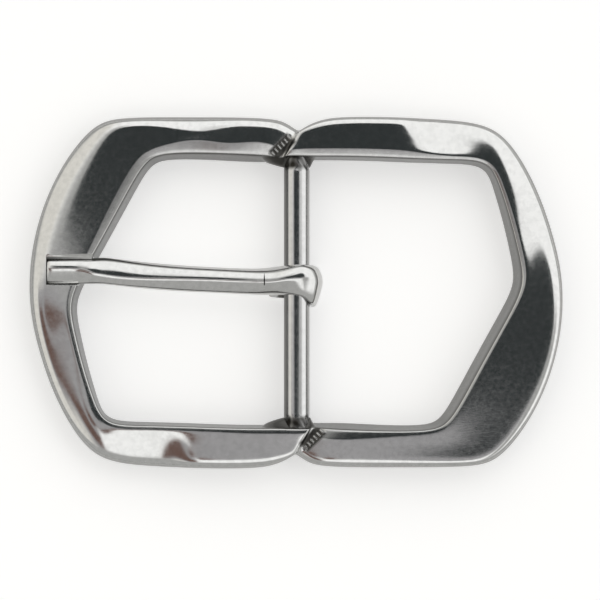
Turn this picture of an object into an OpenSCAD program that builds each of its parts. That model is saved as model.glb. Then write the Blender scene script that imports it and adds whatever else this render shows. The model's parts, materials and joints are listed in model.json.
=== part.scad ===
// Double-window dress belt buckle: a cast frame of two hooked lobes, a round
// centre bar set into it, and a cast tongue that swings on the bar.
// Lengths are in millimetres. The buckle lies on its back: the back is z = 0,
// x runs along the strap, y along the bar, and z out of the buckle's face.
// The frame's lobes share one outline, the second turned half a turn about z; only
// the widths of their bevels differ.

/* [Centre bar] */
// Diameter of the bar
bar_d = 3.95; // [3:0.05:5]
// Height of the bar's axis over the back of the frame
bar_z = 3.3; // [3:0.05:4]
// How far each end of the bar is set into the frame, measured on y
bar_end_y = 21.9; // [21:0.1:23]
// Where the cast root at each end of the bar begins, measured on y
root_y = 19.2; // [16:0.1:20]
// How far the roots flare from the bar on the tongue's side
flare_wide = 3.2; // [1:0.1:3.5]
// How far the roots flare from the bar on the other side
flare_small = 0.9; // [0.5:0.1:2]

/* [Frame] */
// Width of the sloped walls round the windows, as a part of their usual width
wall_part = 1; // [0.7:0.05:1.3]
// Bulge of the front facets, as a part of their usual bulge
bulge_part = 1; // [0:0.1:2]
// Width of the groove that the tongue's tip lies in
groove_w = 4.2; // [4:0.1:6]
// Middle of the groove, measured on y
groove_y = 3.2; // [0:0.1:5]
// End wall of the groove, measured on x
groove_end = -38.4; // [-40:0.1:-36]
// Height of the groove's floor
groove_floor = 3.8; // [3:0.1:4.8]

/* [Tongue] */
// Clearance between the loop's bore and the bar
bore_gap = 0.07; // [0.03:0.01:0.1]
// Where the fine notch crosses the shank's ridge, measured on x
notch_x = -5.1; // [-6:0.1:-4]
// Width of the notch
notch_w = 0.24; // [0.1:0.02:0.4]

/* [Hidden] */
$fn = 64;
metal = [0.78, 0.79, 0.80];
bar_metal = [0.70, 0.71, 0.72];
tongue_metal = [0.82, 0.82, 0.81];

// Sections of one lobe, from the foot of the seam at the top, round the left
// end, to the edge of the seam at the bottom. Each is a cut across the frame:
// [window edge x, y, outer edge x, y, width of the sloped wall, inner height,
//  outer height, bulge between them, then the width of the inner bevel and of the
//  outer roll, first on this lobe and then on the other]
lobe = [
    [-2.4, 20.1, 0.15, 24.85, 0.6, 4.9, 4.75, 0.02, 0.9, 1.2, 0.9, 1.1],
    [-3.2, 20.1, -0.8, 25.5, 0.7, 5, 4.85, 0.02, 1.2, 1.4, 1.2, 1.1],
    [-4.5, 20.1, -2.4, 26.5, 0.8, 5.2, 5.02, 0.02, 1.8, 1.5, 1.6, 1],
    [-7.2, 20.1, -5.5, 26.8, 0.95, 5.45, 5.25, 0.02, 2.3, 1.4, 1.5, 1],
    [-11, 20.3, -10.2, 26.9, 0.9, 5.45, 5.27, 0.02, 1.4, 1.3, 1, 1],
    [-15.2, 20.5, -15.5, 26.9, 0.8, 5.4, 5.25, 0, 2.3, 2.6, 0.6, 1],
    [-18.8, 20.5, -21, 26.9, 0.8, 5.4, 5.31, -0.02, 1.6, 1.6, 0.5, 1],
    [-21.3, 20.2, -26.5, 26.8, 0.85, 5.45, 5.45, -0.04, 1.3, 1.6, 0.5, 1],
    [-22.8, 18.9, -30.4, 26.2, 0.95, 5.51, 5.49, -0.04, 1.5, 2.2, 0.5, 1.1],
    [-24.4, 16.2, -33.8, 22.7, 1, 5.57, 5.51, -0.01, 1.5, 3, 0.5, 1.1],
    [-26.5, 12.3, -36.8, 18.1, 1, 5.61, 5.52, 0.02, 1.5, 3.4, 0.5, 1.1],
    [-28.8, 8.1, -39.2, 12.6, 1, 5.62, 5.52, 0.03, 1.2, 3.2, 0.5, 1.1],
    [-31.2, 3.8, -40.7, 6.5, 1.05, 5.6, 5.42, 0.03, 0.8, 2.6, 0.5, 1.1],
    [-33.2, 0.2, -41.1, 1.2, 1, 5.56, 5.28, 0.03, 0.7, 2, 0.6, 1.3],
    [-33.9, -2.4, -40.8, -3.5, 0.9, 5.5, 5.12, 0.02, 0.7, 1.7, 0.7, 1.5],
    [-33.2, -6.2, -39.8, -8.1, 0.8, 5.42, 4.75, 0, 0.7, 1.6, 0.7, 1.6],
    [-32.1, -11, -37.9, -14.2, 0.75, 5.4, 4.7, 0.1, 0.7, 1.6, 0.7, 1.6],
    [-30.7, -15.8, -35, -20.2, 0.7, 5.4, 4.95, 0.2, 0.6, 1.6, 0.6, 1.6],
    [-29.7, -18.8, -31.5, -24.8, 0.6, 5.45, 5, 0.2, 0.6, 1.4, 0.6, 1.4],
    [-27.5, -19.8, -27.5, -26.2, 0.5, 5.55, 4.8, 0.03, 0.6, 1.4, 0.6, 1.4],
    [-23.6, -19.9, -23.2, -26.6, 0.45, 5.7, 4.65, 0, 0.6, 1.4, 0.6, 1.4],
    [-19.8, -20, -19.3, -26.8, 0.45, 5.82, 4.75, 0, 0.6, 1.4, 0.9, 1.3],
    [-16.4, -20.1, -16.7, -26.9, 0.45, 5.92, 5.65, 0, 0.6, 1.2, 1.3, 1.1],
    [-11.8, -20.3, -13, -27, 0.45, 6, 5.78, 0, 0.5, 1.2, 1.3, 1.1],
    [-6.8, -20.4, -8.7, -27, 0.45, 6.05, 5.8, 0, 0.7, 1.2, 1.3, 1.1],
    [-4.2, -20.4, -6.4, -26.9, 0.45, 6.05, 5.8, 0, 0.7, 1.2, 1.3, 1.1],
    [-2.2, -20.4, -4.4, -26.7, 0.45, 6.05, 5.8, 0, 0.7, 1.2, 1.3, 1.1],
    [0.2, -20.5, -2.2, -26, 0.45, 6.05, 5.8, 0, 0.7, 1, 1.2, 1],
    [1.9, -20.5, -0.75, -25.1, 0.45, 6.05, 5.82, 0, 0.7, 0.7, 1.1, 0.7],
    [2.15, -20.5, -0.5, -24.95, 0.45, 5.9, 5.7, 0, 0.5, 0.6, 1, 0.6],
];

// Sections of the tongue from its tip to the loop:
// [x, y of the middle, half width, underside height, ridge height, and how far the
//  ridge stands off the middle, as a part of the half width]
shank = [
    [-38.3, 3.22, 1.85, 3.9, 5.3, 0.1],
    [-38.15, 3.22, 1.93, 3.87, 5.5, 0.1],
    [-37.4, 3.22, 1.96, 3.85, 5.6, 0.1],
    [-35, 3.25, 1.96, 3.85, 5.6, 0.1],
    [-33.4, 3.28, 1.97, 3.85, 5.6, 0.05],
    [-31.2, 3.3, 2, 3.9, 5.9, -0.3],
    [-29.4, 3.35, 2.1, 3.7, 5.6, -0.45],
    [-26.5, 2.97, 2.1, 3.4, 5.4, -0.45],
    [-22.5, 2.55, 2.07, 3.15, 5.45, -0.35],
    [-18, 2.2, 2.05, 3.2, 5.65, -0.2],
    [-13, 1.95, 2, 3.4, 5.8, -0.13],
    [-9, 1.77, 2, 3.5, 5.95, -0.13],
    [-6, 1.65, 2.05, 3.4, 6.2, -0.15],
    [-3.8, 1.78, 2.15, 2.9, 6.4, -0.2],
    [-1.8, 1.95, 2.3, 3.4, 6.55, -0.1],
];

// Sections of the loop, from over the bar, down its far side and back under it:
// [angle above x, y of the middle, half width, outer radius]
loop = [
    [84, 2, 2.35, 3.3],
    [60, 1.8, 2.5, 3.55],
    [36, 1.25, 3, 3.95],
    [6, 1.05, 3.25, 4.2],
    [-20, 0.85, 3.2, 4.1],
    [-46, 0.85, 2.7, 3.6],
    [-72, 0.9, 2.3, 3.2],
    [-98, 1.0, 2.1, 3.1],
    [-124, 1.05, 2.0, 3.15],
    [-146, 1.1, 1.95, 3.6],
    [-158, 1.15, 1.9, 4.3],
    [-164, 1.15, 1.8, 5.0],
];

// A cut across the tongue, as [part of the half width, part of the height].
// The ridge is off the middle, with a narrow flat along it.
roof = [
    [0.5, 0], [0.85, 0.04], [1, 0.2], [0.98, 0.42], [0.86, 0.7], [0.68, 0.87],
    [0.4, 0.985], [0.23, 1.01], [0.06, 1], [-0.12, 0.94], [-0.42, 0.82], [-0.72, 0.68],
    [-0.97, 0.52], [-1.03, 0.3], [-0.9, 0.05], [-0.5, 0], [0, 0],
];

bore_r = bar_d / 2 + bore_gap;
under_cut = 0.3;
loop_inner_r = 1.9;
tail_angle = -135;
tail_thick = 1.05;
notch_span = [1.1, 3.2];
notch_floor = 5.8;
root_slack = 0.1;
root_top_y = 22.8;
root_fade = 1.5;
root_top_z = 4.8;
root_rise = 1.2;
root_fall_wide = 0.6;
root_fall_small = 1.6;
across = 100;
above = 10;
groove_len = 12;

// Weights of a cubic B-spline at the part t of a span.
function blend(t) = [
    pow(1 - t, 3) / 6,
    (3 * pow(t, 3) - 6 * t * t + 4) / 6,
    (-3 * pow(t, 3) + 3 * t * t + 3 * t + 1) / 6,
    pow(t, 3) / 6
];

// A point of a closed B-spline, and of an open one that starts and ends level.
function on_ring(p, u) = let (k = floor(u), w = blend(u - k), n = len(p))
    w[0] * p[(k - 1 + n) % n] + w[1] * p[k % n] + w[2] * p[(k + 1) % n] + w[3] * p[(k + 2) % n];
function on_line(p, u) = let (k = floor(u), w = blend(u - k), e = len(p) - 1)
    w[0] * p[max(k - 1, 0)] + w[1] * p[min(k, e)] + w[2] * p[min(k + 1, e)] + w[3] * p[min(k + 2, e)];

// The closed outline of one cut across the frame, as [run from the window, height].
function cut(w, wall, zi, zo, bulge, bevel, roll) =
    let (crest = wall + bevel, edge = w - roll, facet = edge - crest, drop = zo - zi,
        ease = (0.19 - 0.035 * roll) * roll, fall = (0.46 - 0.05 * roll) * roll)
    [
        [0.3, -under_cut], [0.04, -under_cut], [0, 0.5], [0.25 * wall, 0.3 * zi],
        [0.75 * wall, 0.8 * (zi - 0.35)], [wall - 0.08, zi - 0.12 * bevel - 0.2],
        [wall + 0.05, zi - 0.12 * bevel], [wall + 0.5 * bevel, zi - 0.055 * bevel],
        [crest - 0.12, zi], [crest + 0.12, zi + 0.02],
        [crest + 0.35 * facet, zi + 0.35 * drop + bulge],
        [crest + 0.75 * facet, zi + 0.75 * drop + 0.8 * bulge],
        [edge, zo], [w - 0.55 * roll, zo - ease], [w - 0.22 * roll, zo - fall],
        [w - 0.03, zo - fall - 0.5], [w, zo - fall - 1.1], [w, 1.0],
        [w - 0.05, -under_cut], [w - 0.4, -under_cut],
        [0.66 * w, -under_cut], [0.33 * w, -under_cut]
    ];

// The same outline set in place between the section's two edges.
function placed_cut(s) =
    let (a = [s[0], s[1]], b = [s[2], s[3]], w = norm(b - a), dir = (b - a) / w)
    [for (q = cut(w, s[4] * wall_part, s[5], s[6], s[7] * bulge_part, s[8], s[9]))
        [a[0] + dir[0] * q[0], a[1] + dir[1] * q[0], q[1]]];

// A section turned half a turn about z: its two edges move, and its bevel and roll
// take the other lobe's widths.
function half_turn(s) = [for (i = [0:9]) i < 4 ? -s[i] : i < 8 ? s[i] : s[i + 2]];

function shank_cut(s) = [for (q = roof)
    let (across_part = q[0] + s[5] * (1 - q[0] * q[0]))
    [s[0], s[1] + across_part * s[2], s[3] + q[1] * (s[4] - s[3])]];

// Past tail_angle the loop straightens out: its inner face leaves the bar.
function loop_cut(s) =
    let (inner = s[0] < tail_angle ? s[3] - tail_thick : loop_inner_r)
    [for (q = roof) let (r = inner + q[1] * (s[3] - inner))
        [r * cos(s[0]), s[1] + q[0] * s[2], bar_z + r * sin(s[0])]];

// Triangles between two neighbouring rings of n points.
function band(a, b, n) = [for (j = [0:n - 1]) each
    [[a + j, b + j, b + (j + 1) % n], [a + j, b + (j + 1) % n, a + (j + 1) % n]]];

function part(v) = max(0, min(1, v));

// Draws the lower part of the window's wall out to root_y round the bar, in a flare
// that is wide on the tongue's side and tight on the other.
function root(p) =
    let (
        side = part(0.5 - p[0] / bar_d),
        reach = flare_small + (flare_wide - flare_small) * side,
        fall = root_fall_small + (root_fall_wide - root_fall_small) * side,
        away = part((norm([p[0], p[2] - bar_z]) - bar_d / 2 - root_slack) / reach),
        y = abs(p[1]),
        low = part((root_top_z - p[2]) / root_rise),
        pull = pow(1 - away, fall) * low * part((root_top_y - y) / root_fade)
    )
    [p[0], sign(p[1]) * (y + (root_y - y) * pull), p[2]];

// The frame's two lobes as one closed ring of sections, two steps to a span.
module lobes() {
    ring = concat([for (s = lobe) placed_cut(s)], [for (s = lobe) placed_cut(half_turn(s))]);
    steps = 2 * len(ring);
    n = len(ring[0]);
    points = [for (i = [0:steps - 1]) let (row = on_ring(ring, i / 2))
        each [for (j = [0:n - 1]) root(on_ring(row, j))]];
    polyhedron(points, [for (i = [0:steps - 1]) each band(i * n, ((i + 1) % steps) * n, n)]);
}

module frame() {
    color(metal) difference() {
        intersection() {
            lobes();
            translate([-across / 2, -across / 2, 0]) cube([across, across, across]);
        }
        translate([groove_end, groove_y - groove_w / 2, groove_floor])
            cube([groove_len, groove_w, above]);
        translate([0, -bar_end_y, bar_z]) rotate([-90, 0, 0])
            cylinder(d = bar_d, h = 2 * bar_end_y);
    }
}

module centre_bar() {
    color(bar_metal) translate([0, -bar_end_y, bar_z]) rotate([-90, 0, 0])
        cylinder(d = bar_d, h = 2 * bar_end_y);
}

// The tongue's arm and loop as one sweep, two steps to a span, capped at both ends.
module sweep() {
    rows = concat([for (s = shank) shank_cut(s)], [for (s = loop) loop_cut(s)]);
    n = len(roof);
    steps = 2 * (len(rows) - 1);
    points = [for (i = [0:steps]) let (row = on_line(rows, i / 2))
        each [for (j = [0:n - 1]) on_ring(row, j)]];
    tip_cap = [[for (j = [0:n - 1]) n - 1 - j]];
    tail_cap = [[for (j = [0:n - 1]) steps * n + j]];
    polyhedron(points, concat(tip_cap, tail_cap,
        [for (i = [0:steps - 1]) each band(i * n, (i + 1) * n, n)]));
}

module tongue() {
    color(tongue_metal) difference() {
        sweep();
        translate([0, -across / 2, bar_z]) rotate([-90, 0, 0])
            cylinder(r = bore_r, h = across);
        translate([notch_x - notch_w / 2, notch_span[0], notch_floor])
            cube([notch_w, notch_span[1] - notch_span[0], above]);
    }
}

frame();
centre_bar();
tongue();
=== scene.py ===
"""Looks of a double-window dress belt buckle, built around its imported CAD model.

The frame and the tongue are rebuilt as fine surfaces from the same sections as the
CAD, with the seam's ribs, the softened edges and the polish that the CAD leaves out.
Lengths are in millimetres until a mesh is made, and the buckle lies face up on z = 0.
"""
import json
import math

import bmesh
import bpy
import numpy as np
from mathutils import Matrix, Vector


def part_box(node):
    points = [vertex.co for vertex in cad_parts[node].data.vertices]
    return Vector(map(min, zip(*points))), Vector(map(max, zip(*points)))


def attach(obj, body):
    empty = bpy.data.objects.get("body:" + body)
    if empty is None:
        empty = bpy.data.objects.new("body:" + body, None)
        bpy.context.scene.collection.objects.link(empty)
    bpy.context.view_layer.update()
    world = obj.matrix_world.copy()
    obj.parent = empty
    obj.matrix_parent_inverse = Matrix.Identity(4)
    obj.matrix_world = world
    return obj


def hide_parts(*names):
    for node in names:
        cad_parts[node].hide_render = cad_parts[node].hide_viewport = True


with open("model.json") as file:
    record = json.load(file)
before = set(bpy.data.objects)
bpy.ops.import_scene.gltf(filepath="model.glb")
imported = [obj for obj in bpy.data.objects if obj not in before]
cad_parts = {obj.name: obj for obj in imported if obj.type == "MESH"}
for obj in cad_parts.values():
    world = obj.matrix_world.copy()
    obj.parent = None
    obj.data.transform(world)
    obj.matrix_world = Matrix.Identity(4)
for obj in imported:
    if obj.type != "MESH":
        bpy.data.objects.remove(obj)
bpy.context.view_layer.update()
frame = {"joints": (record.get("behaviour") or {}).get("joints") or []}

MM = 0.001

# ---------------------------------------------------------------- dimensions

BAR_R = (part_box("centre_bar")[1].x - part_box("centre_bar")[0].x) / 2 / MM
BAR_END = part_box("centre_bar")[1].y / MM
BAR_Z = frame["joints"][0]["pos_m"][2] / MM
# Surfaces run on to here before they are cut off flat at the back.
UNDER = -0.3

# The cast roots: the low part of the window's wall is drawn out to ROOT_Y round the
# bar, over a wide flare on the tongue's side and a small one on the other.
ROOT_Y = 19.2
ROOT_TOP_Y = 22.8
ROOT_FADE = 1.5
ROOT_TOP_Z = 4.8
ROOT_RISE = 1.2
ROOT_FALL_WIDE = 0.6
ROOT_FALL_SMALL = 1.6
ROOT_SLACK = 0.1
FLARE_WIDE = 3.2
FLARE_SMALL = 0.9

# The groove that the tongue's tip lies in.
GROOVE_END = -38.4
GROOVE_Y = 3.2
GROOVE_W = 4.2
GROOVE_FLOOR = 3.8
GROOVE_LENGTH = 12
GROOVE_HEIGHT = 3.0

# The loop's bore round the bar, and the fine notch across the tongue's ridge with its
# outline as (x, z).
BORE_R = BAR_R + 0.07
BORE_REACH = 8
NOTCH_Y = (1.1, 3.2)
NOTCH = [(-5.25, 6.7), (-5.12, 5.8), (-5.08, 5.8), (-4.95, 6.7)]

# The ribs of one seam lie in a row from first to last, measured on x and y.
RIB_FIRST = (-3.75, 21.3)
RIB_LAST = (-1.3, 23.7)
RIB_COUNT = 6
RIB_LENGTH = 0.5
RIB_HEIGHT = 0.08
RIB_TROUGH = 0.12
RIB_LOWEST_Z = 4.0
# Painted shade between the ribs: how much the crests are spared, its darkness, and its reach
# and shift to one side.
RIB_BARE = 0.55
RIB_GROUND_SHADE = 0.95
RIB_GROUND_MARGIN = 0.75
RIB_GROUND_SHIFT = 0.25

# The bar's polished top: its height and squareness against a circle, and its tilt.
# Its ends, from LUMP_START on, are cast and lumpy.
BAR_TOP = 0.94
BAR_FLATNESS = 2.6
BAR_LEAN = 0.10
LUMP_START = 18.6
LUMP_HEIGHT = 0.12

# Numbers of spline steps between two sections, and between two points of a section.
FRAME_STEPS = (12, 7)
TONGUE_STEPS = (10, 6)
BAR_RINGS = 520
BAR_TURNS = 160

# Where parts of a cut across the frame end, counted along its outline's points.
WALL_ENDS = 3.9
CREST_ENDS = 6.3
BEVEL_ENDS = 9.2
SIDE_STARTS = 12.5

# How dark the metal is painted, from 0 to 1: dull where the polishing wheel didn't reach, and
# painted shade in the window's walls, on steep sides and round the bar.
# The window's walls: partly dull metal, partly painted shade, darker still where they run along
# x.
WALL_DULL_AND_SHADE = 0.83
STRAIGHT_WALL_SHADE = 0.05
WALL_EDGE_DULL_AND_SHADE = 0.12
BEVEL_DULL = 0.24
# Painted shade on the steep outer sides of the frame and of the tongue.
SIDE_SHADE = 0.62
TONGUE_SIDE_SHADE = 0.3
# Painted shade on the bar: its west side darker than its east, its underside, and its ends
# where they go into the frame.
BAR_WEST_SHADE = 0.85
BAR_EAST_SHADE = 0.50
BAR_UNDER_SHADE = 0.8
BAR_END_SHADE = 0.86
# The metal at the field's full value: its colour, dark for dull metal and painted shade alike,
# and how much rougher it is.
DULL_AND_SHADE_TINT = (0.037, 0.035, 0.030)
DULL_ROUGHNESS = 0.22

# Patterns of the metal, in features to the metre, and the height of its fine relief.
BLOTCH_SCALE = 1100
POLISH_SCALE = 1800
SCRATCH_SCALE = 900
SCRATCH_TURN_AND_STRETCH = (0.6, 14)
WAVE_SCALE = 160
SCRATCH_PART = 0.12
BUMP_STRENGTH = 0.35
BUMP_DISTANCE = 0.04 * MM

# The studio: its colours, the dark rig of the camera (degrees east and north of
# straight up), and the floor, in metres.
WHITE = (1.05, 1.05, 1.04)
CREAM = (0.78, 0.76, 0.71)
GREY_CLOTH = (0.42, 0.42, 0.41)
CEILING = (0.36, 0.355, 0.36)
BROWN_CARD = (0.15, 0.095, 0.08)
DARK_RIG = (0.032, 0.037, 0.038)
HORIZON = (0.40, 0.40, 0.39)
SEEN_BACKDROP = (0.93, 0.93, 0.925)
RIG_AT = (8, 10)
RIG_RADIUS = 15
FLOOR_TINT = (0.86, 0.86, 0.855)
FLOOR_GLOW = 0.44
FLOOR_HALF_SIZE = 1.5
FLOOR_GAP = 0.02 * MM

# Sections of one lobe: window edge x, y, outer edge x, y, wall width, inner height,
# outer height, bulge, then the width of the inner bevel and of the outer roll, first on
# this lobe and then on the other, which is a half turn away.
LOBE = [
    (-2.4, 20.1, 0.15, 24.85, 0.6, 4.9, 4.75, 0.02, 0.9, 1.2, 0.9, 1.1),
    (-3.2, 20.1, -0.8, 25.5, 0.7, 5.0, 4.85, 0.02, 1.2, 1.4, 1.2, 1.1),
    (-4.5, 20.1, -2.4, 26.5, 0.8, 5.2, 5.02, 0.02, 1.8, 1.5, 1.6, 1.0),
    (-7.2, 20.1, -5.5, 26.8, 0.95, 5.45, 5.25, 0.02, 2.3, 1.4, 1.5, 1.0),
    (-11.0, 20.3, -10.2, 26.9, 0.9, 5.45, 5.27, 0.02, 1.4, 1.3, 1.0, 1.0),
    (-15.2, 20.5, -15.5, 26.9, 0.8, 5.4, 5.25, 0.0, 2.3, 2.6, 0.6, 1.0),
    (-18.8, 20.5, -21.0, 26.9, 0.8, 5.4, 5.31, -0.02, 1.6, 1.6, 0.5, 1.0),
    (-21.3, 20.2, -26.5, 26.8, 0.85, 5.45, 5.45, -0.04, 1.3, 1.6, 0.5, 1.0),
    (-22.8, 18.9, -30.4, 26.2, 0.95, 5.51, 5.49, -0.04, 1.5, 2.2, 0.5, 1.1),
    (-24.4, 16.2, -33.8, 22.7, 1.0, 5.57, 5.51, -0.01, 1.5, 3.0, 0.5, 1.1),
    (-26.5, 12.3, -36.8, 18.1, 1.0, 5.61, 5.52, 0.02, 1.5, 3.4, 0.5, 1.1),
    (-28.8, 8.1, -39.2, 12.6, 1.0, 5.62, 5.52, 0.03, 1.2, 3.2, 0.5, 1.1),
    (-31.2, 3.8, -40.7, 6.5, 1.05, 5.6, 5.42, 0.03, 0.8, 2.6, 0.5, 1.1),
    (-33.2, 0.2, -41.1, 1.2, 1.0, 5.56, 5.28, 0.03, 0.7, 2.0, 0.6, 1.3),
    (-33.9, -2.4, -40.8, -3.5, 0.9, 5.5, 5.12, 0.02, 0.7, 1.7, 0.7, 1.5),
    (-33.2, -6.2, -39.8, -8.1, 0.8, 5.42, 4.75, 0.0, 0.7, 1.6, 0.7, 1.6),
    (-32.1, -11.0, -37.9, -14.2, 0.75, 5.4, 4.7, 0.1, 0.7, 1.6, 0.7, 1.6),
    (-30.7, -15.8, -35.0, -20.2, 0.7, 5.4, 4.95, 0.2, 0.6, 1.6, 0.6, 1.6),
    (-29.7, -18.8, -31.5, -24.8, 0.6, 5.45, 5.0, 0.2, 0.6, 1.4, 0.6, 1.4),
    (-27.5, -19.8, -27.5, -26.2, 0.5, 5.55, 4.8, 0.03, 0.6, 1.4, 0.6, 1.4),
    (-23.6, -19.9, -23.2, -26.6, 0.45, 5.7, 4.65, 0.0, 0.6, 1.4, 0.6, 1.4),
    (-19.8, -20.0, -19.3, -26.8, 0.45, 5.82, 4.75, 0.0, 0.6, 1.4, 0.9, 1.3),
    (-16.4, -20.1, -16.7, -26.9, 0.45, 5.92, 5.65, 0.0, 0.6, 1.2, 1.3, 1.1),
    (-11.8, -20.3, -13.0, -27.0, 0.45, 6.0, 5.78, 0.0, 0.5, 1.2, 1.3, 1.1),
    (-6.8, -20.4, -8.7, -27.0, 0.45, 6.05, 5.8, 0.0, 0.7, 1.2, 1.3, 1.1),
    (-4.2, -20.4, -6.4, -26.9, 0.45, 6.05, 5.8, 0.0, 0.7, 1.2, 1.3, 1.1),
    (-2.2, -20.4, -4.4, -26.7, 0.45, 6.05, 5.8, 0.0, 0.7, 1.2, 1.3, 1.1),
    (0.2, -20.5, -2.2, -26.0, 0.45, 6.05, 5.8, 0.0, 0.7, 1.0, 1.2, 1.0),
    (1.9, -20.5, -0.75, -25.1, 0.45, 6.05, 5.82, 0.0, 0.7, 0.7, 1.1, 0.7),
    (2.15, -20.5, -0.5, -24.95, 0.45, 5.9, 5.7, 0.0, 0.5, 0.6, 1.0, 0.6),
]

# The tongue from its tip: x, y of the middle, half width, underside and ridge height,
# and how far the ridge stands off the middle.
SHANK = [
    (-38.3, 3.22, 1.85, 3.9, 5.3, 0.1),
    (-38.15, 3.22, 1.93, 3.87, 5.5, 0.1),
    (-37.4, 3.22, 1.96, 3.85, 5.6, 0.1),
    (-35.0, 3.25, 1.96, 3.85, 5.6, 0.1),
    (-33.4, 3.28, 1.97, 3.85, 5.6, 0.05),
    (-31.2, 3.3, 2.0, 3.9, 5.9, -0.3),
    (-29.4, 3.35, 2.1, 3.7, 5.6, -0.45),
    (-26.5, 2.97, 2.1, 3.4, 5.4, -0.45),
    (-22.5, 2.55, 2.07, 3.15, 5.45, -0.35),
    (-18.0, 2.2, 2.05, 3.2, 5.65, -0.2),
    (-13.0, 1.95, 2.0, 3.4, 5.8, -0.13),
    (-9.0, 1.77, 2.0, 3.5, 5.95, -0.13),
    (-6.0, 1.65, 2.05, 3.4, 6.2, -0.15),
    (-3.8, 1.78, 2.15, 2.9, 6.4, -0.2),
    (-1.8, 1.95, 2.3, 3.4, 6.55, -0.1),
]
# The loop, from over the bar: angle above x, y of the middle, half width, outer radius.
LOOP = [
    (84, 2.0, 2.35, 3.3),
    (60, 1.8, 2.5, 3.55),
    (36, 1.25, 3.0, 3.95),
    (6, 1.05, 3.25, 4.2),
    (-20, 0.85, 3.2, 4.1),
    (-46, 0.85, 2.7, 3.6),
    (-72, 0.9, 2.3, 3.2),
    (-98, 1.0, 2.1, 3.1),
    (-124, 1.05, 2.0, 3.15),
    (-146, 1.1, 1.95, 3.6),
    (-158, 1.15, 1.9, 4.3),
    (-164, 1.15, 1.8, 5.0),
]
LOOP_INNER_R = 1.9
TAIL_ANGLE = -135
TAIL_THICK = 1.05
# A cut across the tongue: part of the half width, part of the height.
ROOF = [
    (0.5, 0.0), (0.85, 0.04), (1.0, 0.2), (0.98, 0.42), (0.86, 0.7), (0.68, 0.87),
    (0.4, 0.985), (0.23, 1.01), (0.06, 1.0), (-0.12, 0.94), (-0.42, 0.82), (-0.72, 0.68),
    (-0.97, 0.52), (-1.03, 0.3), (-0.9, 0.05), (-0.5, 0.0), (0.0, 0.0),
]


# ---------------------------------------------------------------- surfaces

def spline(rows, steps, closed):
    """Points of a uniform cubic B-spline through rows, along their first axis."""
    rows = np.asarray(rows, float)
    spans = len(rows) if closed else len(rows) - 1
    out = []
    for k in range(spans):
        if closed:
            four = [rows[(k + d) % len(rows)] for d in (-1, 0, 1, 2)]
        else:
            four = [rows[min(max(k + d, 0), len(rows) - 1)] for d in (-1, 0, 1, 2)]
        for i in range(steps + (0 if closed or k < spans - 1 else 1)):
            t = i / steps
            weights = (
                (1 - t) ** 3 / 6,
                (3 * t ** 3 - 6 * t ** 2 + 4) / 6,
                (-3 * t ** 3 + 3 * t ** 2 + 3 * t + 1) / 6,
                t ** 3 / 6,
            )
            out.append(sum(w * row for w, row in zip(weights, four)))
    return np.array(out)


def patch(rows, u_steps, v_steps, closed):
    """A grid of surface points from closed outlines set one after another."""
    along = spline(rows, u_steps, closed)
    return spline(along.swapaxes(0, 1), v_steps, True).swapaxes(0, 1)


def new_object(name, points, faces):
    """A mesh object from points in metres, linked to the scene."""
    mesh = bpy.data.meshes.new(name)
    mesh.from_pydata(points, [], faces)
    obj = bpy.data.objects.new(name, mesh)
    bpy.context.scene.collection.objects.link(obj)
    return obj


def grid_mesh(name, points, closed, dull_and_shade):
    """A closed mesh from a grid of points, with flat caps where it is open. The dull_and_shade
    part of each point, 0 to 1, says how dark it is painted: how far it is from fully polished,
    and painted shade."""
    nu, nv = points.shape[:2]
    i, j = np.meshgrid(np.arange(nu if closed else nu - 1), np.arange(nv), indexing="ij")
    a = i * nv + j
    b = (i + 1) % nu * nv + j
    c = (i + 1) % nu * nv + (j + 1) % nv
    d = i * nv + (j + 1) % nv
    faces = np.stack([a, b, c, d], -1).reshape(-1, 4).tolist()
    if not closed:
        faces.append(list(range(nv))[::-1])
        faces.append([(nu - 1) * nv + k for k in range(nv)])
    obj = new_object(name, (points.reshape(-1, 3) * MM).tolist(), faces)
    obj.data.validate()
    field = obj.data.attributes.new("dull_and_shade", "FLOAT", "POINT")
    field.data.foreach_set("value", dull_and_shade.ravel().astype(np.float32))
    return obj


def smooth_step(v):
    """Rises from 0 to 1 as v does, with level ends."""
    v = np.clip(v, 0, 1)
    return v * v * (3 - 2 * v)


def upright(points, closed):
    """How nearly each point's surface stands upright, 0 to 1."""
    if closed:
        along = np.roll(points, -1, 0) - np.roll(points, 1, 0)
    else:
        along = np.gradient(points, axis=0)
    across = np.roll(points, -1, 1) - np.roll(points, 1, 1)
    normal = np.cross(along, across)
    return 1 - np.abs(normal[..., 2]) / np.maximum(np.linalg.norm(normal, axis=-1), 1e-9)


def cut_outline(width, wall, z_in, z_out, bulge, bevel, roll):
    """The closed outline of one cut across the frame, as (run from the window, height)."""
    crest = wall + bevel
    edge = width - roll
    facet = edge - crest
    drop = z_out - z_in
    ease = (0.19 - 0.035 * roll) * roll
    fall = (0.46 - 0.05 * roll) * roll
    return [
        (0.3, UNDER), (0.04, UNDER), (0, 0.5), (0.25 * wall, 0.3 * z_in),
        (0.75 * wall, 0.8 * (z_in - 0.35)), (wall - 0.08, z_in - 0.12 * bevel - 0.2),
        (wall + 0.05, z_in - 0.12 * bevel), (wall + 0.5 * bevel, z_in - 0.055 * bevel),
        (crest - 0.12, z_in), (crest + 0.12, z_in + 0.02),
        (crest + 0.35 * facet, z_in + 0.35 * drop + bulge),
        (crest + 0.75 * facet, z_in + 0.75 * drop + 0.8 * bulge),
        (edge, z_out), (width - 0.55 * roll, z_out - ease),
        (width - 0.22 * roll, z_out - fall),
        (width - 0.03, z_out - fall - 0.5), (width, z_out - fall - 1.1),
        (width, 1.0), (width - 0.05, UNDER), (width - 0.4, UNDER),
        (0.66 * width, UNDER), (0.33 * width, UNDER),
    ]


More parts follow.
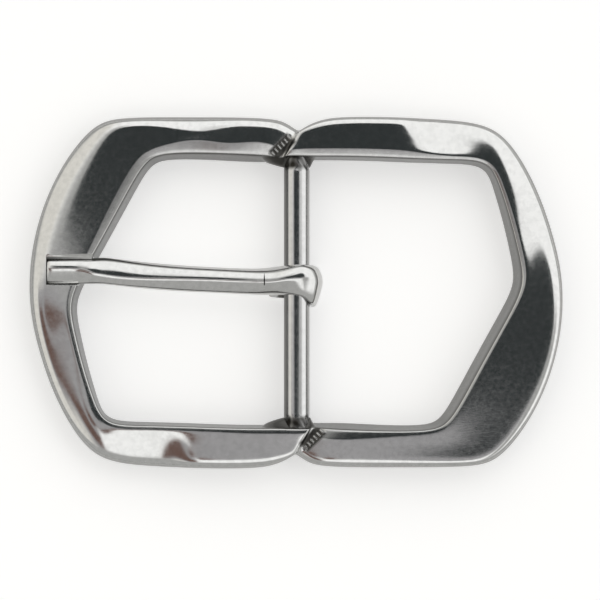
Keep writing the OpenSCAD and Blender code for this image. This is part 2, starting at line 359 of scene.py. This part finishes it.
def placed_cut(section, turn):
    """A section's outline between its two edges. With turn -1 it is on the other lobe."""
    x_in, y_in, x_out, y_out = (turn * v for v in section[:4])
    width = math.hypot(x_out - x_in, y_out - y_in)
    dir_x = (x_out - x_in) / width
    dir_y = (y_out - y_in) / width
    edges = section[8:10] if turn > 0 else section[10:]
    return [(x_in + dir_x * run, y_in + dir_y * run, z)
            for run, z in cut_outline(width, *section[4:8], *edges)]


def flare_roots(p):
    """Draws the window's wall out to the bar in a cast flare, wide on the tongue's side."""
    x, y, z = p[..., 0], np.abs(p[..., 1]), p[..., 2]
    side = np.clip(0.5 - x / (2 * BAR_R), 0, 1)
    reach = FLARE_SMALL + (FLARE_WIDE - FLARE_SMALL) * side
    fall = ROOT_FALL_SMALL + (ROOT_FALL_WIDE - ROOT_FALL_SMALL) * side
    away = np.clip((np.hypot(x, z - BAR_Z) - BAR_R - ROOT_SLACK) / reach, 0, 1)
    low = np.clip((ROOT_TOP_Z - z) / ROOT_RISE, 0, 1)
    pull = (1 - away) ** fall * low * np.clip((ROOT_TOP_Y - y) / ROOT_FADE, 0, 1)
    p[..., 1] = np.sign(p[..., 1]) * (y + (ROOT_Y - y) * pull)


def raise_ribs(p):
    """Small ribs square to each seam, on the lobe that dips under the other. Returns the
    painted shade of each point: the metal between the ribs is painted dark as shade, less on
    the rib crests."""
    first, last = np.array(RIB_FIRST), np.array(RIB_LAST)
    row = last - first
    length = np.linalg.norm(row)
    row = row / length
    pitch = length / (RIB_COUNT - 1)
    dull_and_shade = np.zeros(p.shape[:2])
    for turn in (1, -1):
        rel = p[..., :2] * turn - first
        along = rel @ row
        aside = rel @ np.array((-row[1], row[0]))
        inside = smooth_step((along + pitch) / pitch)
        inside *= smooth_step((length + pitch - along) / pitch)
        up = smooth_step((p[..., 2] - RIB_LOWEST_Z) / 0.3)
        ribbed = inside * up * smooth_step((RIB_LENGTH - np.abs(aside)) / 0.3)
        wave = np.cos(2 * math.pi * along / pitch)
        p[..., 2] += ribbed * np.where(wave > 0, RIB_HEIGHT, RIB_TROUGH) * wave
        # Painted shade on the ground between the ribs, lighter on the crests.
        reach = RIB_LENGTH + RIB_GROUND_MARGIN - np.abs(aside + RIB_GROUND_SHIFT)
        ground = inside * up * smooth_step(reach / 0.5)
        bare = smooth_step((wave - 0.2) / 0.6) * smooth_step((RIB_LENGTH - np.abs(aside)) / 0.2)
        dull_and_shade = np.maximum(dull_and_shade, RIB_GROUND_SHADE * ground * (1 - RIB_BARE * bare))
    return dull_and_shade


def shank_cut(x, y, half, low, high, ridge):
    """One cut across the tongue's arm."""
    return [(x, y + (a + ridge * (1 - a * a)) * half, low + b * (high - low)) for a, b in ROOF]


def loop_cut(angle, y, half, outer):
    """One cut across the loop. Past TAIL_ANGLE its inner face leaves the bar."""
    inner = outer - TAIL_THICK if angle < TAIL_ANGLE else LOOP_INNER_R
    c, s = math.cos(math.radians(angle)), math.sin(math.radians(angle))
    radii = [inner + b * (outer - inner) for _, b in ROOF]
    return [(r * c, y + a * half, BAR_Z + r * s) for r, (a, _) in zip(radii, ROOF)]


# ---------------------------------------------------------------- pieces

def carve(obj, cutter):
    """Cuts cutter out of obj for good and removes it."""
    mesh = bmesh.new()
    mesh.from_mesh(cutter.data)
    bmesh.ops.recalc_face_normals(mesh, faces=mesh.faces)
    mesh.to_mesh(cutter.data)
    mesh.free()
    modifier = obj.modifiers.new("cut", "BOOLEAN")
    modifier.operation = "DIFFERENCE"
    modifier.solver = "EXACT"
    modifier.object = cutter
    graph = bpy.context.evaluated_depsgraph_get()
    settled = bpy.data.meshes.new_from_object(obj.evaluated_get(graph))
    obj.modifiers.clear()
    obj.data = settled
    bpy.data.objects.remove(cutter)


def prism(name, near, far):
    """A closed prism between two copies of an outline, in millimetres."""
    n = len(near)
    faces = [(i, (i + 1) % n, n + (i + 1) % n, n + i) for i in range(n)]
    faces += [tuple(range(n))[::-1], tuple(range(n, 2 * n))]
    return new_object(name, [Vector(p) * MM for p in near + far], faces)


def prism_along_y(name, outline, ends):
    return prism(name, *([(x, y, z) for x, z in outline] for y in ends))


def prism_along_x(name, outline, ends):
    return prism(name, *([(x, y, z) for y, z in outline] for x in ends))


def finish_shading(obj, angle_deg):
    """Smooth shading, with edges over the angle left sharp."""
    mesh = obj.data
    mesh.shade_smooth()
    mesh.set_sharp_from_angle(angle=math.radians(angle_deg))


def groove_cutter():
    """The tongue's groove: a shoulder that falls softly to it from above, and a square
    lower edge."""
    low, high = GROOVE_Y - GROOVE_W / 2, GROOVE_Y + GROOVE_W / 2
    outline = [
        (low + 0.3, 0.0), (low + 0.12, 0.2), (low + 0.12, 1.45), (low, 1.62),
        (low - 0.3, GROOVE_HEIGHT), (high + 1.0, GROOVE_HEIGHT), (high + 0.7, 1.9),
        (high + 0.35, 1.58), (high + 0.02, 1.42), (high - 0.24, 1.2), (high - 0.16, 0.9),
        (high - 0.06, 0.5), (high - 0.2, 0.0),
    ]
    outline = [(y, GROOVE_FLOOR + h) for y, h in outline]
    return prism_along_x("groove", outline, (GROOVE_END, GROOVE_END + GROOVE_LENGTH))


def frame_dull_and_shade(points):
    """How dark the frame is painted: the window's walls most, dull metal with painted shade,
    darkest where they run along x; then painted shade on the outer sides; and the bevel a
    little dull."""
    station = np.arange(points.shape[1]) / FRAME_STEPS[1]
    straight = STRAIGHT_WALL_SHADE * smooth_step((np.abs(points[..., 1]) - 18.5) / 1.5)
    edge = smooth_step((station - WALL_ENDS) / 0.7)
    wall = WALL_DULL_AND_SHADE + straight + (WALL_EDGE_DULL_AND_SHADE - straight) * edge
    wall = wall * smooth_step((CREST_ENDS - station) / 0.9)
    bevel = BEVEL_DULL * smooth_step((BEVEL_ENDS - station) / 1.6)
    side = SIDE_SHADE * smooth_step((upright(points, True) - 0.2) / 0.15)
    return np.maximum(np.maximum(wall, bevel), side * (station > SIDE_STARTS))


def make_frame():
    """The frame: both lobes as one closed surface, with the groove cut into it."""
    rows = [placed_cut(s, 1) for s in LOBE] + [placed_cut(s, -1) for s in LOBE]
    points = patch(rows, *FRAME_STEPS, True)
    flare_roots(points)
    seam = raise_ribs(points)
    points[..., 2] = np.maximum(points[..., 2], 0)
    obj = grid_mesh("buckle_frame", points, True, np.maximum(frame_dull_and_shade(points), seam))
    carve(obj, groove_cutter())
    finish_shading(obj, 38)
    return obj


def make_bar():
    """The bar: its top a little flattened and tipped by the polishing wheel, and its ends rough
    where they were cast into the frame. Painted shade darkens its steep sides, the west more,
    its underside and its ends."""
    y = np.linspace(-BAR_END, BAR_END, BAR_RINGS)
    angle = np.linspace(0, 2 * math.pi, BAR_TURNS, endpoint=False)
    ys, angles = np.meshgrid(y, angle, indexing="ij")
    x = -np.cos(angles)
    end = smooth_step((np.abs(ys) - LUMP_START) / 0.8)
    flat = BAR_TOP * np.sqrt(1 - np.abs(x) ** BAR_FLATNESS) - BAR_LEAN * x * (1 - x * x)
    flat = flat * (1 - end) + np.sin(angles) * end
    z = np.where(np.sin(angles) > 0, flat, np.sin(angles))
    lumps = np.sin(2.6 * ys + 3 * np.cos(2 * angles)) * np.sin(5 * angles + 1.7 * ys)
    radius = BAR_R - LUMP_HEIGHT * end * (1 - lumps) / 2
    points = np.stack([radius * x, ys, BAR_Z + radius * z], -1)
    # Painted shade: the steep sides, the west darker than the east, the underside, and the
    # ends, darker towards the west.
    side = smooth_step((np.abs(x) - 0.68) / 0.1)
    side = side * np.where(x < 0, BAR_WEST_SHADE, BAR_EAST_SHADE)
    under = smooth_step(-np.sin(angles) * 4) * BAR_UNDER_SHADE
    dark = end * np.clip(BAR_END_SHADE - 0.16 * lumps - 0.12 * x, 0, 1)
    obj = grid_mesh("buckle_bar", points, False, np.maximum.reduce([side, under, dark]))
    finish_shading(obj, 50)
    return obj


def make_tongue():
    """The tongue: arm and loop as one surface, bored for the bar and notched."""
    rows = [shank_cut(*s) for s in SHANK] + [loop_cut(*s) for s in LOOP]
    points = patch(rows, *TONGUE_STEPS, False)
    # Painted shade on the tongue's steep sides.
    dull_and_shade = TONGUE_SIDE_SHADE * smooth_step((upright(points, False) - 0.3) / 0.15)
    obj = grid_mesh("buckle_tongue", points, False, dull_and_shade)
    circle = [(BORE_R * math.cos(a), BAR_Z + BORE_R * math.sin(a))
              for a in np.linspace(0, 2 * math.pi, 128, endpoint=False)]
    carve(obj, prism_along_y("bore", circle, (-BORE_REACH, BORE_REACH)))
    carve(obj, prism_along_y("notch", NOTCH, NOTCH_Y))
    finish_shading(obj, 40)
    return obj


# ---------------------------------------------------------------- materials

def polished_metal(name, tint, roughness, mottle, seed):
    """Mirror-polished cast metal: faint mottling, fine scratches and an uneven polish. The
    mesh's dull_and_shade field darkens and roughens it, for dull metal and for painted shade."""
    mat = bpy.data.materials.new(name)
    mat.use_nodes = True
    nodes, links = mat.node_tree.nodes, mat.node_tree.links
    bsdf = nodes["Principled BSDF"]
    bsdf.inputs["Metallic"].default_value = 1.0
    coord = nodes.new("ShaderNodeTexCoord")
    place = nodes.new("ShaderNodeMapping")
    place.inputs["Location"].default_value = (seed, seed * 0.7, 0)
    links.new(coord.outputs["Object"], place.inputs["Vector"])

    def noise(scale, detail, stretch=None):
        tex = nodes.new("ShaderNodeTexNoise")
        tex.inputs["Scale"].default_value = scale
        tex.inputs["Detail"].default_value = detail
        source = place.outputs["Vector"]
        if stretch:
            turn = nodes.new("ShaderNodeMapping")
            turn.inputs["Rotation"].default_value = (0, 0, stretch[0])
            turn.inputs["Scale"].default_value = (1, stretch[1], 1)
            links.new(source, turn.inputs["Vector"])
            source = turn.outputs["Vector"]
        links.new(source, tex.inputs["Vector"])
        return tex.outputs["Fac"]

    def ramp(value, low, high, out_low, out_high):
        node = nodes.new("ShaderNodeMapRange")
        node.inputs["From Min"].default_value = low
        node.inputs["From Max"].default_value = high
        node.inputs["To Min"].default_value = out_low
        node.inputs["To Max"].default_value = out_high
        links.new(value, node.inputs["Value"])
        return node.outputs["Result"]

    blotch = noise(BLOTCH_SCALE, 4)
    colour = nodes.new("ShaderNodeMix")
    colour.data_type = "RGBA"
    colour.inputs["A"].default_value = (*[c * (1 - mottle) for c in tint], 1)
    colour.inputs["B"].default_value = (*tint, 1)
    links.new(ramp(blotch, 0.36, 0.6, 0, 1), colour.inputs["Factor"])
    # The dull_and_shade field paints the base colour dark: dull metal and painted shade.
    dull_and_shade = nodes.new("ShaderNodeAttribute")
    dull_and_shade.attribute_name = "dull_and_shade"
    dulled_and_shaded = nodes.new("ShaderNodeMix")
    dulled_and_shaded.data_type = "RGBA"
    dulled_and_shaded.inputs["B"].default_value = (*DULL_AND_SHADE_TINT, 1)
    links.new(colour.outputs["Result"], dulled_and_shaded.inputs["A"])
    links.new(dull_and_shade.outputs["Fac"], dulled_and_shaded.inputs["Factor"])
    links.new(dulled_and_shaded.outputs["Result"], bsdf.inputs["Base Color"])
    polish = ramp(noise(POLISH_SCALE, 3), 0.32, 0.68, roughness * 0.85, roughness * 1.3)
    rough = nodes.new("ShaderNodeMath")
    rough.operation = "MULTIPLY_ADD"
    rough.inputs[1].default_value = DULL_ROUGHNESS
    links.new(dull_and_shade.outputs["Fac"], rough.inputs[0])
    links.new(polish, rough.inputs[2])
    links.new(rough.outputs["Value"], bsdf.inputs["Roughness"])
    scratches = noise(SCRATCH_SCALE, 2, SCRATCH_TURN_AND_STRETCH)
    waves = noise(WAVE_SCALE, 2)
    height = nodes.new("ShaderNodeMath")
    height.operation = "MULTIPLY_ADD"
    height.inputs[1].default_value = SCRATCH_PART
    links.new(scratches, height.inputs[0])
    links.new(waves, height.inputs[2])
    bump = nodes.new("ShaderNodeBump")
    bump.inputs["Strength"].default_value = BUMP_STRENGTH
    bump.inputs["Distance"].default_value = BUMP_DISTANCE
    links.new(height.outputs["Value"], bump.inputs["Height"])
    links.new(bump.outputs["Normal"], bsdf.inputs["Normal"])
    return mat


# ---------------------------------------------------------------- stage

def make_floor():
    """The pale floor, a hair below the buckle's back, and lit a little from within so
    that it stays even."""
    s = FLOOR_HALF_SIZE
    obj = new_object("floor", [(-s, -s, 0), (s, -s, 0), (s, s, 0), (-s, s, 0)], [(0, 1, 2, 3)])
    obj.location.z = -FLOOR_GAP
    mat = bpy.data.materials.new("pale_floor")
    mat.use_nodes = True
    bsdf = mat.node_tree.nodes["Principled BSDF"]
    bsdf.inputs["Base Color"].default_value = (*FLOOR_TINT, 1)
    bsdf.inputs["Roughness"].default_value = 0.7
    bsdf.inputs["Specular IOR Level"].default_value = 0.2
    bsdf.inputs["Emission Color"].default_value = (1, 1, 1, 1)
    bsdf.inputs["Emission Strength"].default_value = FLOOR_GLOW
    obj.data.materials.append(mat)


class Sky:
    """The studio round the buckle, as soft regions of one light tent.

    A direction is told by its angle from straight up and its compass bearing, laid
    flat: east is +X and north is +Y, both in degrees.
    """

    def __init__(self, tree):
        self.nodes, self.links = tree.nodes, tree.links
        coord = self.nodes.new("ShaderNodeTexCoord")
        split = self.nodes.new("ShaderNodeSeparateXYZ")
        self.links.new(coord.outputs["Generated"], split.inputs[0])
        x, y, z = split.outputs
        flat = self.length(x, y)
        self.angle = self.math("MULTIPLY", self.math("ARCTAN2", flat, z), 180 / math.pi)
        per_flat = self.math("DIVIDE", self.angle, self.math("MAXIMUM", flat, 0.00001))
        self.east = self.math("MULTIPLY", x, per_flat)
        self.north = self.math("MULTIPLY", y, per_flat)

    def math(self, operation, *values):
        node = self.nodes.new("ShaderNodeMath")
        node.operation = operation
        for socket, value in zip(node.inputs, values):
            if isinstance(value, (int, float)):
                socket.default_value = value
            else:
                self.links.new(value, socket)
        return node.outputs[0]

    def rise(self, value, start, end):
        """0 before start, 1 past end, and smooth between them. The end may be the lower."""
        node = self.nodes.new("ShaderNodeMapRange")
        node.interpolation_type = "SMOOTHSTEP"
        low, high, out_low, out_high = (start, end, 0, 1) if start < end else (end, start, 1, 0)
        node.inputs["From Min"].default_value = low
        node.inputs["From Max"].default_value = high
        node.inputs["To Min"].default_value = out_low
        node.inputs["To Max"].default_value = out_high
        self.links.new(value, node.inputs["Value"])
        return node.outputs["Result"]

    def all_of(self, parts):
        """The product of soft parts: what lies in every one of them."""
        product = parts[0]
        for part in parts[1:]:
            product = self.math("MULTIPLY", product, part)
        return product

    def length(self, a, b):
        squares = self.math("MULTIPLY", a, a), self.math("MULTIPLY", b, b)
        return self.math("SQRT", self.math("ADD", *squares))

    def distance(self, east, north):
        """Degrees from a point of the sky, as laid flat."""
        away = self.math("SUBTRACT", self.east, east), self.math("SUBTRACT", self.north, north)
        return self.length(*away)

    def mix(self, below, colour, amount):
        """Paints colour over what is below, a colour itself at first."""
        node = self.nodes.new("ShaderNodeMix")
        node.data_type = "RGBA"
        self.links.new(amount, node.inputs["Factor"])
        if isinstance(below, tuple):
            node.inputs["A"].default_value = (*below, 1)
        else:
            self.links.new(below, node.inputs["A"])
        node.inputs["B"].default_value = (*colour, 1)
        return node.outputs["Result"]


def make_light():
    """A white tent, greyer overhead, with the dark rig of the camera just north-east
    of straight up and a brown card south-west of it. The camera itself sees only an
    even pale backdrop beyond the floor."""
    world = bpy.data.worlds.new("studio")
    world.use_nodes = True
    tree = world.node_tree
    background = tree.nodes["Background"]
    sky = Sky(tree)
    rise, east, north, angle = sky.rise, sky.east, sky.north, sky.angle
    rig = sky.distance(*RIG_AT)
    # Each layer is a colour and the soft edges that bound it, from the back forwards.
    layers = [
        # the west of the tent
        (CREAM, [rise(east, -5, -30)]),
        # a cloth high in the south-east
        (GREY_CLOTH, [rise(east, 11, 16), rise(angle, 44, 30), rise(north, 6, -2)]),
        # the ceiling, towards the south-west and straight up
        (CEILING, [rise(angle, 42, 36), rise(north, 1, -2), rise(east, -7, -12)]),
        (CEILING, [rise(angle, 17, 14), rise(north, 2, -1)]),
        # a cloth across the south
        (GREY_CLOTH, [rise(north, -31, -36)]),
        # the greyer surroundings of the rig, on its west
        (GREY_CLOTH, [rise(rig, 34, 17), rise(east, 0, -5), rise(north, -3, 1)]),
        # brown card: a bent strip in the south-west and two spots nearer the middle
        (BROWN_CARD, [rise(angle, 21, 24), rise(angle, 37, 32),
                      rise(east, -7, -11), rise(north, -5, -9)]),
        (BROWN_CARD, [rise(sky.distance(-13, -8.5), 4.8, 3.0)]),
        (BROWN_CARD, [rise(sky.distance(-4, -14), 4, 2)]),
        # the rig itself
        (DARK_RIG, [rise(rig, RIG_RADIUS + 0.5, RIG_RADIUS - 0.5)]),
        # the darker foot of the tent, all round
        (HORIZON, [rise(angle, 72, 80)]),
    ]
    colour = WHITE
    for paint, edges in layers:
        colour = sky.mix(colour, paint, sky.all_of(edges))
    path = tree.nodes.new("ShaderNodeLightPath")
    seen = tree.nodes.new("ShaderNodeMix")
    seen.data_type = "RGBA"
    tree.links.new(path.outputs["Is Camera Ray"], seen.inputs["Factor"])
    tree.links.new(colour, seen.inputs["A"])
    seen.inputs["B"].default_value = (*SEEN_BACKDROP, 1)
    tree.links.new(seen.outputs["Result"], background.inputs["Color"])
    bpy.context.scene.world = world


def make_camera():
    """Above the buckle and a little to its left, aimed at it, as in the photograph."""
    height = 0.6
    lean = 0.030
    aim = Vector((0.54, -1.15, 2.5)) * MM
    width_shown = 92.3 * MM
    place = Vector((aim.x - lean, aim.y, height))
    cam = bpy.data.cameras.new("camera")
    cam.sensor_width = 36
    cam.lens = cam.sensor_width * (place - aim).length / width_shown
    obj = bpy.data.objects.new("camera", cam)
    obj.location = place
    obj.rotation_euler = (0, -math.atan2(lean, height - aim.z), 0)
    bpy.context.scene.collection.objects.link(obj)
    bpy.context.scene.camera = obj


# ---------------------------------------------------------------- assembly

frame_metal = polished_metal("frame_metal", (0.82, 0.82, 0.81), 0.10, 0.07, 0.0)
bar_metal = polished_metal("bar_metal", (0.77, 0.77, 0.77), 0.12, 0.06, 3.1)
tongue_metal = polished_metal("tongue_metal", (0.81, 0.81, 0.80), 0.12, 0.06, 7.7)

for build, material, body, node, slot in (
    (make_frame, frame_metal, "frame_body", "frame", "frame_metal"),
    (make_bar, bar_metal, "frame_body", "centre_bar", "bar_metal"),
    (make_tongue, tongue_metal, "tongue_body", "tongue", "tongue_metal"),
):
    piece = build()
    piece.data.materials.clear()
    piece.data.materials.append(material)
    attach(piece, body)
    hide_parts(node)

make_floor()
make_light()
make_camera()
bpy.context.scene.view_settings.view_transform = "Standard"
